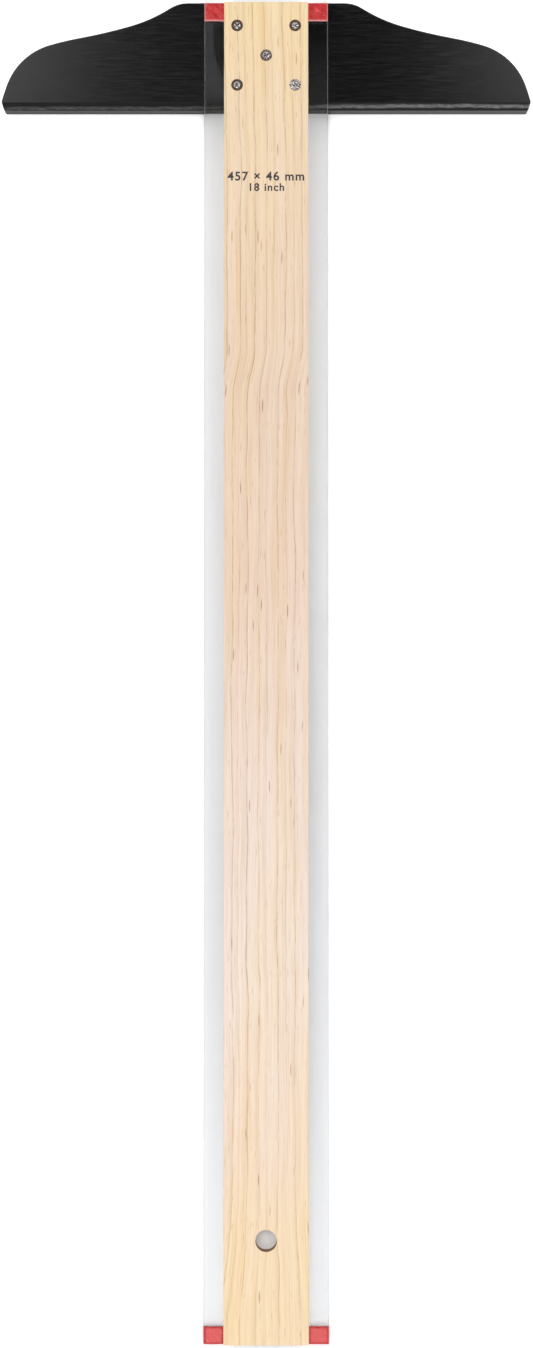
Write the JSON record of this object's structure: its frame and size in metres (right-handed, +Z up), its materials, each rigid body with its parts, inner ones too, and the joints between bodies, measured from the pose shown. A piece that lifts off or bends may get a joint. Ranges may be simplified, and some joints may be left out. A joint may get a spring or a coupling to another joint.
{
  "type": "t square",
  "caption": "Drawing T-square: a shaped black wooden head screwed square under a pale wooden blade with clear acrylic ruling edges and a hanging hole.",
  "frame": {"origin": "on the head's guide face, on the blade's centre line, at the level of the head's underside", "axes": "+X runs along the head, +Y goes from the guide face through the head to its back, +Z is up, away from the drawing board. The blade reaches from the guide face towards -Y."},
  "size_m": [0.1978, 0.4967, 0.0116],
  "materials": {
    "head_wood": "black stain under satin lacquer",
    "blade_wood": "pale pine, fine sanded, thin matt lacquer",
    "clear_acrylic": "clear polished acrylic",
    "red_plastic": "moulded red plastic, semi-gloss",
    "screw_steel": "antique nickel plated steel",
    "printed_ink": "dark grey printed ink"
  },
  "bodies": {
    "root": {"head": "head_wood", "blade_core": "blade_wood", "acrylic_edge_left": "clear_acrylic", "acrylic_edge_right": "clear_acrylic", "end_block_head_left": "red_plastic", "end_block_head_right": "red_plastic", "end_block_tip_left": "red_plastic", "end_block_tip_right": "red_plastic", "screw_back_left": "screw_steel", "screw_back_right": "screw_steel", "screw_centre": "screw_steel", "screw_front_left": "screw_steel", "screw_front_right": "screw_steel"}
  },
  "joints": []
}
